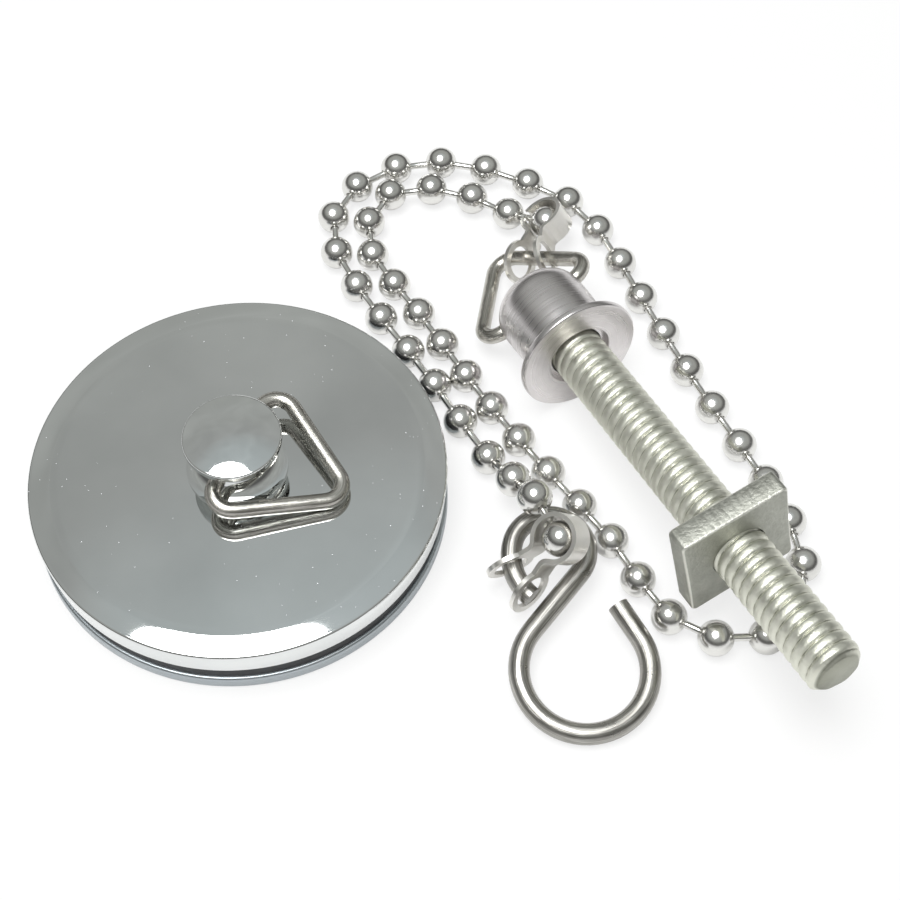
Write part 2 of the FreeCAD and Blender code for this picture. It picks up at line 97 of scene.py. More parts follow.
chain_points = chain_points.reshape(-1, 3)
bpy.data.objects.remove(line_holder)
bpy.data.meshes.remove(traced)
chain_way = np.append(0, np.cumsum(np.linalg.norm(np.diff(chain_points, axis=0), axis=1)))
print("chain line:", len(chain_points), "points,", round(chain_way[-1] / mm, 1), "mm long")

# %% [markdown]
# Three small helpers serve the surfaces. The first scales vectors to length one. The second joins rings of
# points to closed skins: it takes a whole batch of tubes at once, because a chain is many beads and links. The
# third puts points and faces into a mesh that is smooth except at sharp folds.

# %% Helpers for surfaces
def unit(vectors):
    """Vectors divided by their own length."""
    return vectors / np.linalg.norm(vectors, axis=-1, keepdims=True)


def skin(rings):
    """Points and faces of closed tubes. rings has the shape tubes, rows, columns, 3. Each ring joins the next
    by quads, the columns close round, and each end closes by triangles to the middle of its ring."""
    tubes, rows, columns = rings.shape[:3]
    grid = np.arange(tubes * rows * columns).reshape(tubes, rows, columns)
    after = np.roll(grid, -1, axis=2)
    quads = np.stack([grid[:, :-1], after[:, :-1], after[:, 1:], grid[:, 1:]], axis=-1).reshape(-1, 4)
    middles = rings[:, [0, -1]].mean(axis=2)
    ends = grid.size + np.arange(tubes * 2).reshape(tubes, 2, 1) + np.zeros((1, 1, columns), int)
    first = np.stack([ends[:, 0], after[:, 0], grid[:, 0]], axis=-1).reshape(-1, 3)
    last = np.stack([ends[:, 1], grid[:, -1], after[:, -1]], axis=-1).reshape(-1, 3)
    points = np.concatenate([rings.reshape(-1, 3), middles.reshape(-1, 3)])
    return points, quads.tolist() + first.tolist() + last.tolist()


def piece(name, points, faces, fold=40):
    """Object of these points and faces, shaded smooth but for edges that fold by more than the given angle."""
    mesh = bpy.data.meshes.new(name)
    mesh.from_pydata(points.tolist(), [], faces)
    mesh.polygons.foreach_set("use_smooth", np.ones(len(mesh.polygons), bool))
    mesh.set_sharp_from_angle(angle=math.radians(fold))
    made = bpy.data.objects.new(name, mesh)
    scene.collection.objects.link(made)
    print(name, "has", len(points), "points and", len(faces), "faces")
    return made


# %% [markdown]
# A ball chain is made of hollow beads pressed round short pins with a head at each end. The beads sit at even
# steps along the line, a little closer where the chain was laid slack. Each bead is turned round its own axis,
# and that axis swings from the link behind to the link ahead between the two ends. So both holes face
# their links while the ball stays round.

# %% Where the beads sit
run_steps = np.repeat((0.953, 0.975, 1.037, 1.037), (12, 12, 11, 12))
bead_way = np.append(0, np.cumsum(run_steps)) / run_steps.sum() * chain_way[-1]
bead_places = np.column_stack([np.interp(bead_way, chain_way, chain_points[:, axis]) for axis in range(3)])
link_ways = unit(np.diff(bead_places, axis=0))
way_in = np.concatenate([link_ways[:1], link_ways])
way_out = np.concatenate([link_ways, link_ways[-1:]])
steps = np.linalg.norm(np.diff(bead_places, axis=0), axis=1)
print(len(bead_places), "beads,", round(steps.mean() / mm, 2), "mm apart")


# %% Beads and links
def lathe(places, axes, radii, heights, columns):
    """Rings round axes: each row lies at its height along its axis, on a circle of its radius.
    places has the shape tubes, 1, 3 and axes the shape tubes, rows, 3."""
    side = unit(np.cross((0, 0, 1), axes))
    rise = np.cross(axes, side)
    angle = np.arange(columns) / columns * 2 * np.pi
    circle = side[:, :, None] * np.cos(angle)[:, None] + rise[:, :, None] * np.sin(angle)[:, None]
    middle = places + axes * heights[..., None]
    return middle[:, :, None] + circle * radii[..., None, None]


def bead_rings():
    """A ball with a pit at both ends. The profile goes up one pit's wall, over a rounded lip, along the ball's
    meridian and down the other pit. On the meridian the radius is R sin(a) and the height -R cos(a), for an
    angle a from one lip to the other."""
    hole, lip, pit = 0.5 * mm, 0.62 * mm, 1.05 * mm
    swing_share = 0.85
    start = math.asin(lip / bead_radius)
    meridian = np.linspace(start, np.pi - start, 25)
    half_radii = np.array([0.45 * mm, hole, hole, 0.53 * mm])
    half_heights = -np.array([pit, pit + 0.04 * mm, 1.83 * mm, 1.875 * mm])
    radii = np.concatenate([half_radii, bead_radius * np.sin(meridian), half_radii[::-1]])
    heights = np.concatenate([half_heights, -bead_radius * np.cos(meridian), -half_heights[::-1]])
    swing = np.clip((heights / bead_radius + swing_share) / (2 * swing_share), 0, 1)[:, None]
    axes = unit(way_in[:, None] * (1 - swing) + way_out[:, None] * swing)
    many = np.ones((len(bead_places), 1))
    return lathe(bead_places[:, None], axes, radii * many, heights * many, 32)


def link_rings():
    """A thin pin from inside one bead to inside the next, a little thicker where it enters the holes."""
    share = np.array([0, 0.06, 0.2, 0.26, 0.74, 0.8, 0.94, 1.0])
    radius = np.array([0.44, 0.47, 0.47, 0.42, 0.42, 0.47, 0.47, 0.44]) * mm
    inset = 0.95 * mm
    heights = inset + share * (steps[:, None] - 2 * inset)
    axes = link_ways[:, None] + np.zeros((1, len(share), 1))
    return lathe(bead_places[:-1, None], axes, radius * np.ones_like(heights), heights, 14)


bead_points, bead_faces = skin(bead_rings())
link_points, link_faces = skin(link_rings())
link_faces = [[corner + len(bead_points) for corner in face] for face in link_faces]
chain = piece("ball_chain", np.concatenate([bead_points, link_points]), bead_faces + link_faces, 50)

# %% The chain stands for its solids
runs = ("inner_strand", "stud_turn", "outer_strand", "hook_strand")
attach(chain, "chain")
run_nodes = [run + kind for kind in ("_beads", "_links") for run in runs]
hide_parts("stay_end_bead", "hook_end_bead", *run_nodes)
print("the chain stands for", 2 + len(run_nodes), "solids")

# %% [markdown]
# The plug's plate and its base flange were turned on a lathe. Each is a profile carried round the Z axis, with
# enough steps on the small bends to keep the mirror clean. The plate's top is a shallow crown that falls away
# faster over a shoulder near the rim, which is where the photograph shows the lamp.

# %% Turned plate and flange
def turned(name, profile, columns=224):
    """Piece turned round Z from its profile, pairs of radius and height in millimetres, from the lower end of
    the axis to the upper."""
    radii, heights = np.array(profile).T * mm
    turn = np.arange(columns) / columns * 2 * np.pi
    ring = np.stack([np.cos(turn), np.sin(turn), 0 * turn], axis=-1)
    rings = radii[:, None, None] * ring + heights[:, None, None] * np.array((0, 0, 1))
    return piece(name, *skin(rings[None]), 38)


def bend(radius, height, size, start, end, steps=9):
    """Arc of a profile about a middle, between two angles in degrees."""
    angle = np.radians(np.linspace(start, end, steps))
    return np.column_stack([radius + size * np.cos(angle), height + size * np.sin(angle)]).tolist()


# %% Their profiles
axis_radius = 0.4
plate_top, crown_drop, shoulder_radius = 7.55, 0.25, 20.5
plate_foot, plate_band_top, plate_edge = 3.85, 6.65, 22.75
edge_bend, spigot_radius, spigot_foot = 0.35, 5.0, 0.65
shoulder_slope, shoulder_fall, shoulder_power = 0.0244, 0.0926, 1.2
out = np.linspace(plate_edge - shoulder_radius, 0, 16)
shoulder_top = plate_top - crown_drop
shoulder_heights = shoulder_top - shoulder_slope * out - shoulder_fall * out ** shoulder_power
shoulder = np.column_stack([shoulder_radius + out, shoulder_heights])
inwards = np.linspace(shoulder_radius, axis_radius, 24)[1:]
crown = np.column_stack([inwards, plate_top - crown_drop * (inwards / shoulder_radius) ** 2])
spigot = [(axis_radius, spigot_foot), (4.95, spigot_foot), (spigot_radius, 0.7), (spigot_radius, plate_foot)]
band = [(22.9, plate_foot), (22.95, 3.9), (23.0, 4.8), (23.06, 5.8)]
rolled_edge = bend(plate_edge, plate_band_top, edge_bend, 0, 81)
plate = turned("plug_top_plate", spigot + band + rolled_edge + shoulder.tolist() + crown.tolist())

flange_edge, flange_top = 22.75, 1.85
hub_radius, hub_top, bore_radius, bore_foot = 8.0, 3.8, 5.05, 0.6
hub = [(hub_radius, flange_top), (hub_radius, hub_top), (bore_radius, hub_top), (bore_radius, bore_foot),
       (axis_radius, bore_foot)]
flange_foot = [(axis_radius, 0.0), (22.6, 0.0)] + bend(flange_edge, edge_bend, edge_bend, -90, 0)
flange = turned("plug_base_flange", flange_foot + bend(flange_edge, flange_top - edge_bend, edge_bend, 0, 90) + hub)
for turned_piece, node in ((plate, "plug_plate"), (flange, "plug_base")):
    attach(turned_piece, "plug")
    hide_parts(node)

# %% [markdown]
# The stay's screw is a quarter inch stud with 20 threads to the inch. Rolled threads have round crests that
# meet in a narrow groove, so the radius falls away from each crest slowly and then fast. A value of the ridge, 1
# on the crest and 0 in the groove, is kept on the mesh; the finish paints shade into the grooves by it.

# %% Where the stay lies
stay_place = np.array((38.3, 14.95, 7.415)) * mm
stay_along = unit(np.array((0.4702, -0.8728, 0.1307)))
stay_side = unit(np.cross((0, 0, 1), stay_along))
stay_up = np.cross(stay_along, stay_side)
stud_start = -6.4 * mm
stud_end = 49.0 * mm
stud_radius = 3.175 * mm
pitch = 1.27 * mm
print("stud:", round((stud_end - stud_start) / pitch, 1), "turns of thread")


def on_stay(across, up, along):
    """Points from their distances across, up and along the stay."""
    offset = across[..., None] * stay_side + up[..., None] * stay_up + along[..., None] * stay_along
    return stay_place + offset


# %% Threaded stud
def stud_surface(rows=640, columns=72, depth=0.32 * mm, roundness=3.2, chamfer=0.7 * mm):
    """Radius over turn and length: R less the depth times (2 f) to the power of the roundness, where f is the
    distance to the nearest crest in turns, from 0 to a half. Both ends are held under a cone of the chamfer's
    height, and two waves round the turn, fading from the ends, leave them as ragged as a saw does."""
    dull_end, saw_depth, saw_fade = 0.9 * mm, 0.08 * mm, 0.5 * mm
    lengths, turns = np.linspace(stud_start, stud_end, rows), np.arange(columns) / columns
    along, turn = np.meshgrid(lengths, turns, indexing="ij")
    crest = np.abs((along / pitch - turn) % 1 - 0.5)
    ridge = 1 - (2 * crest) ** roundness
    from_end = np.minimum(stud_end - along, along - stud_start)
    radius = stud_radius - depth * (1 - ridge)
    ridge = ridge * np.clip(from_end / dull_end, 0.1, 1)
    radius = np.minimum(radius, stud_radius - np.clip(chamfer - from_end, 0, None))
    angle = turn * 2 * np.pi
    ragged = 1.6 + np.sin(3 * angle + 0.6) + 0.6 * np.sin(7 * angle)
    radius = radius - saw_depth * ragged * np.exp(-from_end / saw_fade)
    rings = on_stay(radius * np.cos(angle), radius * np.sin(angle), along)
    return rings, ridge


stud_rings, stud_ridge = stud_surface()
stud = piece("threaded_stud", *skin(stud_rings[None]), 60)
ridge = stud.data.attributes.new("ridge", "FLOAT", "POINT")
ridge.data.foreach_set("value", np.append(stud_ridge.ravel(), (0.1, 0.1)))
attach(stud, "stay")
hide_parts("stay_stud")

# %% [markdown]
# The cap is turned too, but round the stay's axis. Its nose is a blunt ellipse, its side draws in a little towards
# the brim, and a small fillet leads into the brim. A recess in the brim's face leaves a dark gap round the stud.

# %% Domed cap
nose_end, nose_length, nose_power = -12.1, 3.9, 2.3
side_radius, side_start, side_length = 5.5, -8.2, 6.7
taper, taper_power = 0.42, 2.6
waist_radius, waist_height, fillet_size = 5.08, -1.5, 0.6
brim_radius, brim_bend, brim_back = 7.11, 0.25, -0.65
recess_radius, recess_floor, socket_radius, socket_floor = 3.9, -0.8, 3.3, -4.0
cap_columns, cap_fold = 128, 38


def cap_profile():
    """Radius and height along the stay, from the nose to the socket. The nose is a superellipse, and the side
    draws in by the taper with a power of the way to the brim."""
    tip = np.linspace(0.004, 1, 22) ** 1.5
    blunt = (1 - (1 - tip) ** nose_power) ** (1 / nose_power)
    nose = np.column_stack([side_radius * blunt, nose_end + nose_length * tip])
    run = np.linspace(0, 1, 9)[1:]
    side = np.column_stack([side_radius - taper * run ** taper_power, side_start + side_length * run])
    angle = np.linspace(0.3, 1.5, 6)
    fillet = np.column_stack([waist_radius + fillet_size - fillet_size * np.cos(angle),
                              waist_height + fillet_size * np.sin(angle)])
    brim = bend(brim_radius, brim_back, brim_bend, -90, 0, 6) + bend(brim_radius, -brim_bend, brim_bend, 0, 90, 6)
    recess = [(3.95, 0.0), (recess_radius, -0.05), (recess_radius, recess_floor), (socket_radius, recess_floor),
              (socket_radius, socket_floor), (axis_radius, socket_floor)]
    return np.array(nose.tolist() + side.tolist() + fillet.tolist() + brim + recess) * mm


cap_radii, cap_heights = cap_profile().T
cap_turn = np.arange(cap_columns) / cap_columns * 2 * np.pi
cap_rings = on_stay(cap_radii[:, None] * np.cos(cap_turn), cap_radii[:, None] * np.sin(cap_turn),
                    cap_heights[:, None] + 0 * cap_turn)
cap = piece("stay_domed_cap", *skin(cap_rings[None]), cap_fold)

# %% [markdown]
# The stay's wire ring runs through a hole across the cap. The hole could be left out of the turned grid, but its rim
# is not a line of that grid. So it is drilled: a Boolean modifier takes a long round drill away from the cap, and
# the cut mesh is kept.

# %% Hole across the cap
ring_roll = math.radians(21.2)
ring_across = stay_side * math.cos(ring_roll) + stay_up * math.sin(ring_roll)
ring_back = 9.4
ring_middle = stay_place - stay_along * ring_back * mm
ring_hole = 1.05 * mm
drill_ends = np.array([(-8.0, 8.0)]) * mm
drill_way = ring_across + np.zeros((1, 2, 3))
drill_rings = lathe(ring_middle[None, None], drill_way, np.full((1, 2), ring_hole), drill_ends, 48)
drill = piece("drill", *skin(drill_rings))
hole = cap.modifiers.new("hole", "BOOLEAN")
hole.object = drill
hole.solver = "EXACT"
bored = bpy.data.meshes.new_from_object(cap.evaluated_get(bpy.context.evaluated_depsgraph_get()))
cap.modifiers.clear()
cap.data = bored
bored.polygons.foreach_set("use_smooth", np.ones(len(bored.polygons), bool))
bored.set_sharp_from_angle(angle=math.radians(cap_fold))
bpy.data.objects.remove(drill)
print("cap bored:", len(bored.polygons), "faces")
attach(cap, "stay")
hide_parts("stay_cap")

# %% [markdown]
# The nut is a flat square pressed from bar. Its section, a flat rectangle with small rounded edges, goes once
# round the stud, and the outer side follows a square instead of a circle. The edges, rubbed bright, are marked.

# %% Square nut
nut_middle = 30.6 * mm
nut_half = 6.35 * mm
nut_thickness = 2.8 * mm


def nut_surface(columns=320, corner=0.55 * mm, edge=0.28 * mm):
    """Section round the bore: at each angle the outer radius is that of a square with rounded corners. The
    section runs up the outside over two rounded edges, in over the face and back down the bore. Short waves
    round the turn, strongest on the edges, are the burrs that the press left."""
    turn = np.arange(columns) / columns * 2 * np.pi
    from_flat = np.abs((turn + np.pi / 4) % (np.pi / 2) - np.pi / 4)
    flat = nut_half / np.cos(from_flat)
    inner = nut_half - corner
    lean = math.sqrt(2) * inner * np.cos(np.pi / 4 - from_flat)
    rounded = lean + np.sqrt(np.clip(lean ** 2 - 2 * inner ** 2 + corner ** 2, 0, None))
    outer = np.where(from_flat > math.atan2(inner, nut_half), rounded, flat)
    round_off = np.linspace(0, np.pi / 2, 5)
    bore, burr_height = 3.24 * mm, 0.012 * mm
    half = nut_thickness / 2
    drop = np.concatenate([edge * (1 - np.sin(round_off)), edge * (1 - np.cos(round_off))])
    rise = np.concatenate([-half + edge * (1 - np.cos(round_off)), half - edge * (1 - np.sin(round_off))])
    rim = np.sin(2 * np.concatenate([round_off, round_off])) ** 0.5
    row = np.arange(len(drop))[:, None]
    burr = np.sin(41 * turn + row) + 0.8 * np.sin(67 * turn + 2.1 * row) + 0.6 * np.sin(109 * turn - row)
    sides = outer[None] - drop[:, None] - burr_height * rim[:, None] * (2.4 + burr)
    inside = np.linspace(1, 0, 9)[1:-1]
    face = bore + (outer[None] - edge - bore) * inside[:, None]
    radius = np.concatenate([sides, face, np.full((2, columns), bore), face[::-1]])
    along = np.concatenate([rise, np.full(len(face), half), (half, -half), np.full(len(face), -half)])
    worn = np.concatenate([rim, np.zeros(len(face) * 2 + 2)])
    roll = math.radians(9.2)
    angle = turn[None] + roll
    places = on_stay(radius * np.cos(angle), radius * np.sin(angle), (nut_middle + along)[:, None] + 0 * angle)
    return places, np.repeat(worn, columns)


def hoop(rings):
    """Points and faces of a ring-shaped skin: rows and columns both close round."""
    rows, columns = rings.shape[:2]
    grid = np.arange(rows * columns).reshape(rows, columns)
    after = np.roll(grid, -1, axis=1)
    quads = np.stack([grid, after, np.roll(after, -1, axis=0), np.roll(grid, -1, axis=0)], axis=-1)
    return rings.reshape(-1, 3), quads.reshape(-1, 4).tolist()


nut_rings, nut_worn = nut_surface()
nut = piece("square_nut", *hoop(nut_rings), 35)
worn = nut.data.attributes.new("worn", "FLOAT", "POINT")
worn.data.foreach_set("value", nut_worn)
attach(nut, "stay_nut")
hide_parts("stay_nut")

# %% [markdown]
# The two rings and the hook are bent from round wire. Drawing through a die leaves fine lines along the wire, so
# each wire is a circle carried along its bent path, and the mesh keeps where a point lies: how far round the wire,
# and how far along. The paths are runs and arcs in the plane of each piece, as in the solids.

# %% Paths of the wires
def arc_run(middle, radius, start, end):
    """Points of an arc in a plane, between two angles in degrees, about one every six degrees."""
    angle = np.radians(np.linspace(start, end, int(abs(end - start) / 6) + 2))
    return np.column_stack([middle[0] + radius * np.cos(angle), middle[1] + radius * np.sin(angle)])


def triangle_path(base, height, bend_radius, shift):
    """Round the three corners of a triangle whose base lies on X, at each corner by an arc that touches both
    sides: its middle lies on the line that halves the corner, its radius over the cosine of half the turn away."""
    corners = np.array([(shift + base / 2, 0), (shift, height), (shift - base / 2, 0)])
    ways = unit(np.roll(corners, -1, axis=0) - corners)
    arcs = []
    for corner, way_here, way_next in zip(corners, np.roll(ways, 1, axis=0), ways):
        start = math.degrees(math.atan2(way_here[1], way_here[0])) - 90
        turn = math.degrees(math.acos(way_here @ way_next))
        inwards = unit(way_next - way_here)
        middle = corner + inwards * bend_radius / math.cos(math.radians(turn / 2))
        arcs.append(arc_run(middle, bend_radius, start, start + turn))
    return np.concatenate(arcs)


def heading(degrees):
    """Way in a plane at this angle: its cosine and sine."""
    return np.array((math.cos(math.radians(degrees)), math.sin(math.radians(degrees))))


# %% Path of the hook
loop_radius, tip_angle, tip_length = 6.95, 31, 4.2
eye, eye_radius = np.array((-3.4, 13.4)), 4.1
drop_radius, drop_angle, end_angle = 6.3, 165, 229


def hook_path():
    """Straight tip, open loop about the origin, straight shank and the eye's two arcs. The shank is the line that
    touches both circles and crosses over between them. It leaves the loop at an angle from the line through the
    middles, and the cosine of that angle is the sum of the radii over the distance of the middles."""
    reach = (loop_radius + eye_radius) / np.linalg.norm(eye)
    shank = math.degrees(math.atan2(eye[1], eye[0]) + math.acos(reach))
    bowl = arc_run((0, 0), loop_radius, tip_angle, shank - 360)
    tip = bowl[0] + heading(tip_angle + 90) * tip_length
    upper = arc_run(eye, eye_radius, shank - 180, drop_angle)
    drop_middle = eye + (eye_radius - drop_radius) * heading(drop_angle)
    lower = arc_run(drop_middle, drop_radius, drop_angle, end_angle)[1:]
    return np.concatenate([[tip], bowl, upper, lower])


# %% Wires along their paths
def wire(name, flat, place, across, up, radius, closed, line_length=40, columns=24):
    """Circle carried along a path in a plane: each ring stands square to the mean of the two runs that meet in
    it. The drawn value is the cosine and sine of the place round the wire, and the way along in line lengths."""
    across, up = unit(np.array(across)), unit(np.array(up))
    path = np.array(place) + flat[:, :1] * across + flat[:, 1:] * up
    before, after = path - np.roll(path, 1, axis=0), np.roll(path, -1, axis=0) - path
    if not closed:
        before[0], after[-1] = after[0], before[-1]
    tangent = unit(unit(before) + unit(after))
    outwards = np.cross(tangent, np.cross(across, up))
    upwards = np.cross(tangent, outwards)
    turn = np.arange(columns) / columns * 2 * np.pi
    circle = outwards[:, None] * np.cos(turn)[:, None] + upwards[:, None] * np.sin(turn)[:, None]
    rings = (path[:, None] + radius * circle) * mm
    made = piece(name, *(hoop(rings) if closed else skin(rings[None])), 50)
    length = np.cumsum(np.linalg.norm(before, axis=1))[:, None] / line_length
    drawn = np.stack(np.broadcast_arrays(np.cos(turn), np.sin(turn), length), axis=-1).reshape(-1, 3)
    end_points = np.zeros((len(made.data.vertices) - len(drawn), 3))
    drawn = np.concatenate([drawn, end_points])
    made.data.attributes.new("drawn", "FLOAT_VECTOR", "POINT").data.foreach_set("vector", drawn.ravel())
    return made


# %% [markdown]
# The plug's ring turns in the knob and its apex rests on the plate, so its plane falls by the angle whose sine is
# the drop over the distance to the apex. The stay's ring folds down from the cap. The hook lies tilted, its loop
# on the table and its eye raised by the clasp.

# %% Rings and hook in place
ring_height, ring_bend, ring_wire = 14.0, 2.1, 0.9
plug_base_length, plug_shift, stay_base_length = 18.6, 0.75, 17.8
knob_hole = (0, 0, 10.4)
knob_hole_rise, rest_gap = 2.85, 0.15
half_apex = math.atan(plug_base_length / 2 / ring_height)
apex_distance = ring_height - (ring_bend / math.sin(half_apex) - ring_bend)
fall = math.asin((knob_hole_rise - ring_wire - rest_gap) / apex_distance)
plug_ring_turn = 67
plug_ring_across = np.append(heading(plug_ring_turn), 0)
plug_ring_way = np.append(heading(plug_ring_turn - 90) * math.cos(fall), -math.sin(fall))
plug_path = triangle_path(plug_base_length, ring_height, ring_bend, plug_shift)
plug_wire = wire("plug_wire_ring", plug_path, knob_hole, plug_ring_across, plug_ring_way, ring_wire, True)

fold = math.radians(17.9)
stay_ring_way = np.cross(ring_across, stay_along) * math.sin(fold) - stay_along * math.cos(fold)
stay_path = triangle_path(stay_base_length, ring_height, ring_bend, 0.0)
stay_wire = wire("stay_wire_ring", stay_path, ring_middle / mm, ring_across, stay_ring_way, ring_wire, True)

hook_wire = 1.15
tilt = math.radians(7.7)
hook_place = (37.6, -22.0, hook_wire + loop_radius * math.sin(tilt))
hook_way = (0, math.cos(tilt), math.sin(tilt))
hook = wire("pull_wire_hook", hook_path(), hook_place, (1, 0, 0), hook_way, hook_wire, False)
for made, body, node, metal in ((plug_wire, "plug_ring", "plug_ring", "ring_steel"),
                                (stay_wire, "stay_ring", "stay_ring", "ring_steel"),
                                (hook, "hook", "pull_hook", "hook_steel")):
    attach(made, body)
    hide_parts(node)

# %% [markdown]
# With the hook made, the chain is whole. It is the limp piece: it starts at the stay's clasp and ends in the hook
# and its clasp.

# %% Points along the chain
print("cord declared along", len(chain_points[::4]), "points")

# %% [markdown]
# The finishes come next. Small helpers serve them all: one turns a written colour into the linear values that
# light is added up in, one adds a node, sets it and links it, and one links what makes a metal to its shader. Every
# pattern is sized from a real length.

# %% Helpers for finishes
def linear(code):
    """Linear colour of an sRGB hex value: below 0.04045 a twelfth, above it a power of 2.4."""
    part = np.array([int(code[start:start + 2], 16) / 255 for start in (1, 3, 5)])
    light = np.where(part <= 0.04045, part / 12.92, ((part + 0.055) / 1.055) ** 2.4)
    return (*light.tolist(), 1.0)


def add(tree, kind, feeds=(), **settings):
    """One node: its settings, then its sockets. A pair of a node and an output becomes a link, and anything
    else the socket's own value."""
    node = tree.nodes.new(kind)
    for name, value in settings.items():
        setattr(node, name, value)
    for socket, value in dict(feeds).items():
        if isinstance(value, tuple) and isinstance(value[0], bpy.types.Node):
            tree.links.new(value[0].outputs[value[1]], node.inputs[socket])
        else:
            node.inputs[socket].default_value = value
    return node


def finish(name, *holders):
    """New material on these objects, with its tree, its shader and the node that gives Object coordinates."""
    made = bpy.data.materials.new(name)
    made.use_nodes = True
    for holder in holders:
        holder.data.materials.clear()
        holder.data.materials.append(made)
    tree = made.node_tree
    print(name, "on", ", ".join(holder.name for holder in holders))
    return tree, tree.nodes["Principled BSDF"], add(tree, "ShaderNodeTexCoord")


def as_metal(tree, shader, tint, haze, bump):
    """Make the shader a metal with this colour, roughness and bumps."""
    for node, output, socket in ((tint, 2, "Base Color"), (haze, 0, "Roughness"), (bump, 0, "Normal")):
        tree.links.new(node.outputs[output], shader.inputs[socket])
    shader.inputs["Metallic"].default_value = 1


def per(length):
    """Pattern scale at which one cell measures the given length in millimetres."""
    return 1 / (length * mm)


# %% [markdown]
# Metal that was handled has a colour and a gloss that drift slightly over the surface. One function lays this haze
# on chromium, nickel and drawn steel, each from its own colours and gloss. Plated metal also has faint ripples.

# %% Plated metals
def hazed(name, holders, dark, light, gloss, drift):
    """New material with a tint and a roughness that follow a noise of the drift length."""
    tree, shader, place = finish(name, *holders)
    cloud = add(tree, "ShaderNodeTexNoise", {"Vector": (place, "Object"), "Scale": per(drift), "Detail": 4})
    tint = add(tree, "ShaderNodeMix", {0: (cloud, 0), 6: linear(dark), 7: linear(light)}, data_type="RGBA")
    haze = add(tree, "ShaderNodeMapRange", {0: (cloud, 0), 1: 0.3, 2: 0.7, 3: gloss[0], 4: gloss[1]})
    return tree, shader, place, tint, haze


def plated(name, holders, dark, light, gloss, drift, grain, depth):
    """Hazed mirror metal that a finer noise of the grain length bends by the depth, both in millimetres."""
    tree, shader, place, tint, haze = hazed(name, holders, dark, light, gloss, drift)
    fine = add(tree, "ShaderNodeTexNoise", {"Vector": (place, "Object"), "Scale": per(grain), "Detail": 2})
    bump = add(tree, "ShaderNodeBump", {"Strength": 1.0, "Distance": depth * mm, "Height": (fine, 0)})
    as_metal(tree, shader, tint, haze, bump)
    return tree, shader, place, tint, haze


# Bright nickel over brass, pressed and barrel polished: pale mirror balls with faint ripples.
plated("bright_nickel_chain", [chain], "#d2d1ce", "#edece9", (0.16, 0.24), 3.0, 1.1, 0.01)
# Nickel plated strip, stamped: the same metal with a little more haze.
clasps = [nodes["stay_clasp"], nodes["hook_clasp"]]
plated("nickel_strip", clasps, "#dad8d3", "#f2f0eb", (0.28, 0.4), 2.5, 0.7, 0.012)
# Chromium on the turned flange, dulled to a satin gloss by handling. Its colours are set darker than the plate's
# chromium as a painted reflection of the shaded table round the flange.
plated("chromium_flange", [flange], "#a2a9ad", "#b6bcc0", (0.3, 0.38), 9.0, 4.0, 0.004)

# %% [markdown]
# Drawn steel wire has fine lines along it, brighter and darker, and a satin gloss. The lines are a noise of the
# place round the wire, which changes slowly along it. Real lines of about 0.02 mm are drawn 0.1 mm wide, so
# that they show.

# %% Drawn wire
line_width = 0.1


def drawn_wire(name, holders, dark, light, gloss):
    """Hazed metal whose colour and height also follow a noise stretched along the wire. The drawn value's first two
    parts count in radii of the wire, so the noise is scaled by the rings' radius over the lines' width."""
    tree, shader, _, tint, haze = hazed(name, holders, dark, light, gloss, 3.0)
    along = add(tree, "ShaderNodeAttribute", attribute_name="drawn")
    stretched = {"Vector": (along, "Vector"), "Scale": ring_wire / line_width, "Detail": 3}
    lines = add(tree, "ShaderNodeTexNoise", stretched)
    share = add(tree, "ShaderNodeMapRange", {0: (lines, 0), 1: 0.42, 2: 0.6, 3: 0.0, 4: 1.0})
    streak = add(tree, "ShaderNodeMix", {0: (share, 0), 6: linear(dark), 7: (tint, 2)}, data_type="RGBA")
    bump = add(tree, "ShaderNodeBump", {"Strength": 1.0, "Distance": 0.03 * mm, "Height": (lines, 0)})
    as_metal(tree, shader, streak, haze, bump)


# The rings were tumbled bright, and the hook was left as drawn, greyer and duller.
drawn_wire("bright_steel_wire", [plug_wire, stay_wire], "#b3b0a9", "#ebe9e3", (0.18, 0.28))
drawn_wire("grey_steel_wire", [hook], "#918f8a", "#dcdad5", (0.26, 0.38))

# %% [markdown]
# The plate and the knob are bright chromium on turned brass, a cold, deep mirror. Specks of dust lie on it, in
# looser and denser patches. They are small cells of a Voronoi pattern, picked by the cell's own colour.

# %% Chromium with dust
tree, shader, place, tint, haze = plated("bright_chromium", [plate, nodes["plug_knob"]], "#cfd2d1", "#eeefef",
                                         (0.02, 0.05), 14.0, 6.0, 0.004)
cells = add(tree, "ShaderNodeTexVoronoi", {"Vector": (place, "Object"), "Scale": per(0.5)})
pick = add(tree, "ShaderNodeSeparateColor", {0: (cells, "Color")})
size = add(tree, "ShaderNodeMath", {0: (pick, 1), 1: 0.12}, operation="MULTIPLY")
near = add(tree, "ShaderNodeMath", {0: (cells, "Distance"), 1: (size, 0)}, operation="LESS_THAN")
patch = add(tree, "ShaderNodeTexNoise", {"Vector": (place, "Object"), "Scale": per(9.0), "Detail": 1})
rare = add(tree, "ShaderNodeMath", {0: (pick, 0), 1: (patch, 0)}, operation="MULTIPLY")
kept = add(tree, "ShaderNodeMath", {0: (rare, 0), 1: 0.41}, operation="GREATER_THAN")
dust = add(tree, "ShaderNodeMath", {0: (near, 0), 1: (kept, 0)}, operation="MULTIPLY")
dusty = add(tree, "ShaderNodeMix", {0: (dust, 0), 6: (tint, 2), 7: linear("#f6f7fa")}, data_type="RGBA")
dull = add(tree, "ShaderNodeMath", {0: (dust, 0), 1: 0.6, 2: (haze, 0)}, operation="MULTIPLY_ADD")
tree.links.new(dusty.outputs[2], shader.inputs["Base Color"])
tree.links.new(dull.outputs[0], shader.inputs["Roughness"])

# %% [markdown]
# The seal is moulded black rubber, dull and a little chalky.

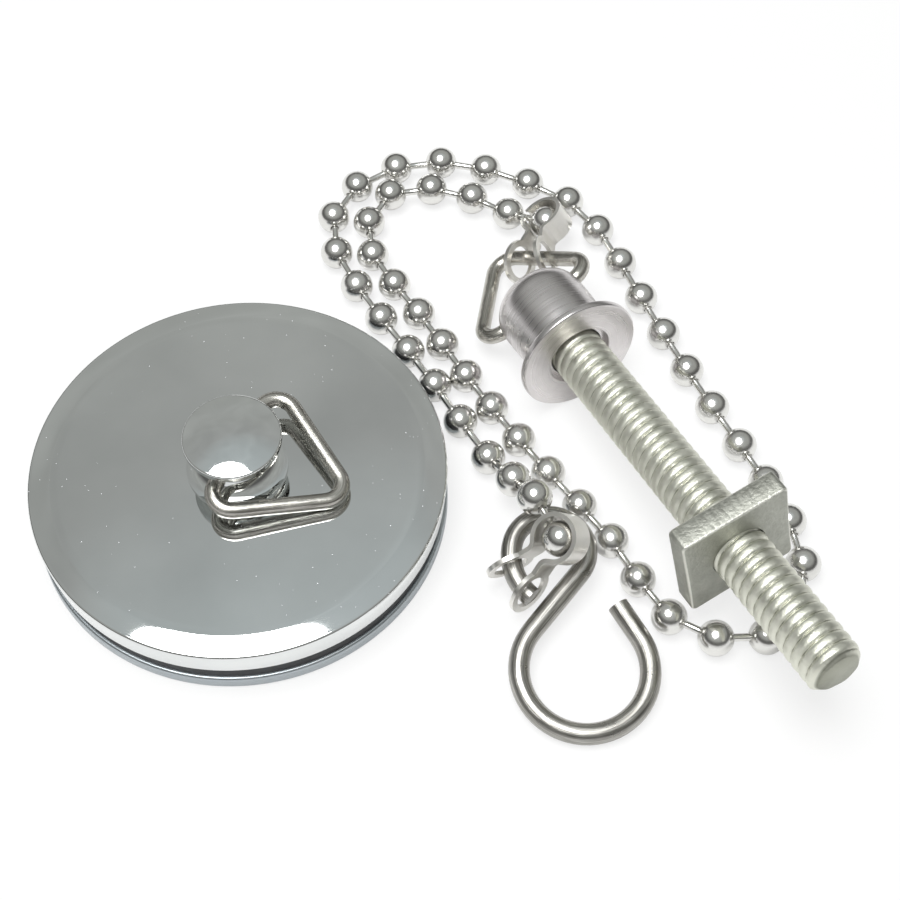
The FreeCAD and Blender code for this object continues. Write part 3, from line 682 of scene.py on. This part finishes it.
# %% Rubber
tree, shader, place = finish("moulded_black_rubber", nodes["plug_seal"])
cloud = add(tree, "ShaderNodeTexNoise", {"Vector": (place, "Object"), "Scale": per(1.5), "Detail": 5})
tint = add(tree, "ShaderNodeMix", {0: (cloud, 0), 6: linear("#17181a"), 7: linear("#303236")}, data_type="RGBA")
bump = add(tree, "ShaderNodeBump", {"Strength": 1.0, "Distance": 0.02 * mm, "Height": (cloud, 0)})
tree.links.new(tint.outputs[2], shader.inputs["Base Color"])
tree.links.new(bump.outputs[0], shader.inputs["Normal"])
shader.inputs["Roughness"].default_value = 0.55

# %% [markdown]
# The cap was turned on a lathe and left satin, so fine rings run round the stay's axis. The pattern is a
# noise that depends only on the distance from that axis and along it. A Mapping node lays the axis along Z.

# %% Satin cap
tree, shader, place = finish("satin_turned_metal", cap)
lie = Matrix((stay_side, stay_up, stay_along)).transposed().to_euler()
along_stay = {"Vector": (place, "Object"), "Location": stay_place.tolist(), "Rotation": lie}
laid = add(tree, "ShaderNodeMapping", along_stay, vector_type="TEXTURE")
split = add(tree, "ShaderNodeSeparateXYZ", {0: (laid, 0)})
flat = add(tree, "ShaderNodeCombineXYZ", {0: (split, 0), 1: (split, 1)})
out = add(tree, "ShaderNodeVectorMath", {0: (flat, 0)}, operation="LENGTH")
ring = add(tree, "ShaderNodeCombineXYZ", {0: (out, "Value"), 1: (split, 2)})
# Tool marks of about 0.05 mm are drawn 0.22 mm wide, so that they show.
marks = add(tree, "ShaderNodeTexNoise", {"Vector": (ring, 0), "Scale": per(0.22), "Detail": 2})
cloud = add(tree, "ShaderNodeTexNoise", {"Vector": (place, "Object"), "Scale": per(3.0), "Detail": 5})
tint = add(tree, "ShaderNodeMix", {0: (cloud, 0), 6: linear("#c4c0c0"), 7: linear("#e6e2e2")}, data_type="RGBA")
haze = add(tree, "ShaderNodeMapRange", {0: (marks, 0), 1: 0.3, 2: 0.7, 3: 0.24, 4: 0.36})
bump = add(tree, "ShaderNodeBump", {"Strength": 1.0, "Distance": 0.0024 * mm, "Height": (marks, 0)})
as_metal(tree, shader, tint, haze, bump)

# %% [markdown]
# The stud is steel with a pale yellow zinc plating. The colour follows the ridge value on the mesh: the grooves
# are painted dark, as painted shade in them, and the crests keep the pale plating.

# %% Zinc stud
tree, shader, place = finish("pale_zinc_plating", stud)
ridge = add(tree, "ShaderNodeAttribute", attribute_name="ridge")
cloud = add(tree, "ShaderNodeTexNoise", {"Vector": (place, "Object"), "Scale": per(1.1), "Detail": 5})
shades = {0: (cloud, 0), 6: linear("#cbccbe"), 7: linear("#efefe5")}
crest = add(tree, "ShaderNodeMix", shades, data_type="RGBA")
# Painted shade: where the ridge value is low, in the grooves, the colour goes to the dark #85867a.
depth = add(tree, "ShaderNodeMapRange", {0: (ridge, "Fac"), 1: 0.0, 2: 0.3, 3: 0.0, 4: 1.0})
tint = add(tree, "ShaderNodeMix", {0: (depth, 0), 6: linear("#85867a"), 7: (crest, 2)}, data_type="RGBA")
haze = add(tree, "ShaderNodeMapRange", {0: (cloud, 0), 1: 0.3, 2: 0.7, 3: 0.38, 4: 0.55})
# Zinc crystals of a few hundredths of a millimetre are drawn 0.25 mm wide, so that they show.
grain = add(tree, "ShaderNodeTexNoise", {"Vector": (place, "Object"), "Scale": per(0.25), "Detail": 3})
bump = add(tree, "ShaderNodeBump", {"Strength": 1.0, "Distance": 0.03 * mm, "Height": (grain, 0)})
as_metal(tree, shader, tint, haze, bump)

# %% [markdown]
# The nut has the same plating gone grey, with a rough pressed face and bright rubbed edges.

# %% Zinc nut
tree, shader, place = finish("dull_zinc_plating", nut)
edge = add(tree, "ShaderNodeAttribute", attribute_name="worn")
cloud = add(tree, "ShaderNodeTexNoise", {"Vector": (place, "Object"), "Scale": per(1.6), "Detail": 6})
grit = add(tree, "ShaderNodeTexNoise", {"Vector": (place, "Object"), "Scale": per(0.35), "Detail": 5})
face = add(tree, "ShaderNodeMix", {0: (cloud, 0), 6: linear("#94958d"), 7: linear("#bdbeb6")}, data_type="RGBA")
tint = add(tree, "ShaderNodeMix", {0: (edge, "Fac"), 6: (face, 2), 7: linear("#e2e2da")}, data_type="RGBA")
haze = add(tree, "ShaderNodeMapRange", {0: (grit, 0), 1: 0.3, 2: 0.7, 3: 0.42, 4: 0.6})
bump = add(tree, "ShaderNodeBump", {"Strength": 1.0, "Distance": 0.07 * mm, "Height": (grit, 0)})
as_metal(tree, shader, tint, haze, bump)

# %% [markdown]
# Mirrors show the room, so the room is part of their look: a white table, an oval soft box above, and a grey room
# with faint clouds that is pale near the table, dark a little higher and pale again overhead. Part of the table's
# white is its own light, more for the camera than for mirrors, so that it stays white and still keeps the shadows.

# %% Table
half = 2.5
table_mesh = bpy.data.meshes.new("table")
corners = [(-half, -half, 0), (half, -half, 0), (half, half, 0), (-half, half, 0)]
table_mesh.from_pydata(corners, [], [(0, 1, 2, 3)])
table = bpy.data.objects.new("table", table_mesh)
table.location.z = -0.00005
scene.collection.objects.link(table)
tree, shader, _ = finish("white_table", table)
shader.inputs["Base Color"].default_value = linear("#f6f6f6")
shader.inputs["Roughness"].default_value = 0.9
shader.inputs["Specular IOR Level"].default_value = 0.1
ray = add(tree, "ShaderNodeLightPath")
own_light_seen, own_light_mirrored = 0.75, 0.25
seen = add(tree, "ShaderNodeMath", {0: (ray, "Is Camera Ray"), 1: own_light_seen}, operation="MULTIPLY")
mirrored = {0: (ray, "Is Glossy Ray"), 1: own_light_mirrored, 2: (seen, 0)}
share = add(tree, "ShaderNodeMath", mirrored, operation="MULTIPLY_ADD")
white = add(tree, "ShaderNodeEmission", {"Color": (1, 1, 1, 1), "Strength": 1.0})
both = add(tree, "ShaderNodeMixShader", {0: (share, 0), 1: (shader, 0), 2: (white, 0)})
tree.links.new(both.outputs[0], tree.nodes["Material Output"].inputs["Surface"])

# %% Light
softbox = bpy.data.lights.new("softbox", "AREA")
softbox.shape = "ELLIPSE"
softbox.size = 0.36
softbox.size_y = 0.43
softbox.energy = 3.45
softbox_holder = bpy.data.objects.new("softbox", softbox)
softbox_holder.location = (-0.08, -0.06, 0.6)
scene.collection.objects.link(softbox_holder)
print("softbox", softbox.size, "m wide,", softbox.energy, "W")

# %% Room
room = bpy.data.worlds.new("grey_room")
room.use_nodes = True
scene.world = room
tree = room.node_tree
view = add(tree, "ShaderNodeTexCoord")
split = add(tree, "ShaderNodeSeparateXYZ", {0: (view, "Generated")})
lean = add(tree, "ShaderNodeMath", {0: (split, 1), 1: 0.12, 2: (split, 2)}, operation="MULTIPLY_ADD")
ramp = add(tree, "ShaderNodeValToRGB", {0: (lean, 0)})
stops = [(0.0, "#f3f3f3"), (0.06, "#ededed"), (0.13, "#6a6a68"), (0.34, "#5c5c5a"), (0.5, "#8a8a88"),
         (0.6, "#a6a8a4"), (0.72, "#aeb0ad"), (0.82, "#a9aba8"), (0.9, "#a9aba9"),
         (0.955, "#b7bdbd"), (1.0, "#c1c8c9")]
bands = ramp.color_ramp.elements
bands[0].position, bands[1].position = stops[0][0], stops[-1][0]
bands[0].color, bands[1].color = linear(stops[0][1]), linear(stops[-1][1])
for position, code in stops[1:-1]:
    bands.new(position).color = linear(code)
folds = {"Vector": (view, "Generated"), "Scale": 6.0, "Detail": 1, "Distortion": 0.5}
cloth = add(tree, "ShaderNodeTexNoise", folds)
shading = add(tree, "ShaderNodeMapRange", {0: (cloth, 0), 1: 0.3, 2: 0.7, 3: 0.93, 4: 1.07})
tree.links.new(ramp.outputs[0], tree.nodes["Background"].inputs["Color"])
tree.links.new(shading.outputs[0], tree.nodes["Background"].inputs["Strength"])
print("room of", len(stops), "greys")

# %% [markdown]
# Last, the colours are shown as they are written.

# %% Colours as written
scene.view_settings.view_transform = "Standard"
